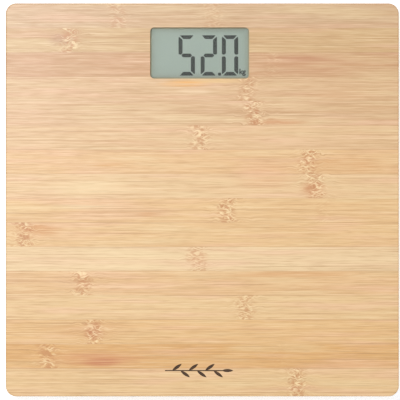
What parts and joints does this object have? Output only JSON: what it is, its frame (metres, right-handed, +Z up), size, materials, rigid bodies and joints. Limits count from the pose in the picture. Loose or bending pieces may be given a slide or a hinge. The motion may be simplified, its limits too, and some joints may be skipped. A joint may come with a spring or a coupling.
{
  "type": "digital bathroom scale",
  "caption": "Square bamboo bathroom scale with an inset display, load-cell feet and an underside battery and electronics tray",
  "frame": {"origin": "On the floor under the middle of the platform", "axes": "+Z up out of the standing face, +Y towards the display edge, -Y towards the edge a person steps on from, +X to the right of a person facing the display"},
  "size_m": [0.3, 0.3, 0.026],
  "materials": {
    "bamboo": "laminated bamboo strips, satin clear lacquer",
    "lens_clear": "clear polished acrylic",
    "foam_tape": "black closed-cell foam tape",
    "polariser_film": "grey-green polarising film",
    "lcd_glass": "polished float glass",
    "reflector_film": "grey-green reflective film",
    "abs_white": "moulded ABS, fine spark texture",
    "zebra_rubber": "layered conductive silicone",
    "fr4_board": "glass-epoxy laminate with green solder mask",
    "epoxy_black": "cured black epoxy",
    "tin_can": "tinned steel can",
    "capacitor_sleeve": "dark blue shrink sleeve over aluminium",
    "chip_ceramic": "glazed alumina with black print",
    "switch_black": "moulded black nylon",
    "abs_grey": "moulded grey ABS",
    "battery_label": null,
    "nickel_plate": "nickel-plated spring steel",
    "wire_pvc": "extruded PVC insulation",
    "solder_tin": "bright tin solder",
    "zinc_screw": "zinc-plated steel",
    "cell_steel": "stamped spring steel, nickel flash",
    "gauge_silicone": "white silicone sealant over the gauge",
    "foot_rubber": "grey moulded rubber",
    "kraft_tape": "crepe paper tape"
  },
  "bodies": {
    "platform": {"platform_board": "bamboo", "lens": "lens_clear", "lens_gasket": "foam_tape", "front_polariser": "polariser_film", "front_glass": "lcd_glass", "rear_glass": "lcd_glass", "rear_reflector": "reflector_film", "lcd_holder": "abs_white", "zebra_strip": "zebra_rubber", "circuit_board": "fr4_board", "controller_blob": "epoxy_black", "crystal": "tin_can", "capacitor": "capacitor_sleeve", "chip_resistors": "chip_ceramic", "switch_body": "switch_black", "electronics_tray": "abs_white", "battery_front": "battery_label", "battery_rear": "battery_label", "battery_springs": "nickel_plate", "contact_bridge": "nickel_plate", "contact_positive": "nickel_plate", "contact_negative": "nickel_plate", "battery_leads": "wire_pvc", "solder_joints": "solder_tin", "pcb_screws": "zinc_screw", "tray_screws": "zinc_screw", "foot_screws": "zinc_screw", "harness_tapes": "kraft_tape", "foot_housing_front_left": "abs_white", "foot_housing_front_right": "abs_white", "foot_housing_rear_left": "abs_white", "foot_housing_rear_right": "abs_white", "load_cell_front_left": "cell_steel", "load_cell_front_right": "cell_steel", "load_cell_rear_left": "cell_steel", "load_cell_rear_right": "cell_steel", "strain_gauge_front_left": "gauge_silicone", "strain_gauge_front_right": "gauge_silicone", "strain_gauge_rear_left": "gauge_silicone", "strain_gauge_rear_right": "gauge_silicone", "wire_harness_front_left": "wire_pvc", "wire_harness_front_right": "wire_pvc", "wire_harness_rear_left": "wire_pvc", "wire_harness_rear_right": "wire_pvc"},
    "door": {"battery_door": "abs_white"},
    "button": {"unit_button": "abs_grey", "switch_plunger": "switch_black"},
    "foot_front_left": {"foot_cap_front_left": "abs_white", "rubber_pad_front_left": "foot_rubber"},
    "foot_front_right": {"foot_cap_front_right": "abs_white", "rubber_pad_front_right": "foot_rubber"},
    "foot_rear_left": {"foot_cap_rear_left": "abs_white", "rubber_pad_rear_left": "foot_rubber"},
    "foot_rear_right": {"foot_cap_rear_right": "abs_white", "rubber_pad_rear_right": "foot_rubber"}
  },
  "joints": [
    {"name": "battery_door_slide", "type": "slide", "parent": "platform", "child": "door", "axis": [0, -1, 0], "range_m": [0, 0.024]},
    {"name": "unit_button_press", "type": "slide", "parent": "platform", "child": "button", "axis": [0, 0, 1], "range_m": [0, 0.0005], "stiffness_N_per_m": 2000, "springref_m": -0.0005},
    {"name": "foot_front_left_press", "type": "slide", "parent": "platform", "child": "foot_front_left", "axis": [0, 0, 1], "range_m": [0, 0.0005], "stiffness_N_per_m": 4000, "springref_m": -0.002, "deforming": ["load_cell_front_left"]},
    {"name": "foot_front_right_press", "type": "slide", "parent": "platform", "child": "foot_front_right", "axis": [0, 0, 1], "range_m": [0, 0.0005], "stiffness_N_per_m": 4000, "springref_m": -0.002, "deforming": ["load_cell_front_right"]},
    {"name": "foot_rear_left_press", "type": "slide", "parent": "platform", "child": "foot_rear_left", "axis": [0, 0, 1], "range_m": [0, 0.0005], "stiffness_N_per_m": 4000, "springref_m": -0.002, "deforming": ["load_cell_rear_left"]},
    {"name": "foot_rear_right_press", "type": "slide", "parent": "platform", "child": "foot_rear_right", "axis": [0, 0, 1], "range_m": [0, 0.0005], "stiffness_N_per_m": 4000, "springref_m": -0.002, "deforming": ["load_cell_rear_right"]}
  ]
}
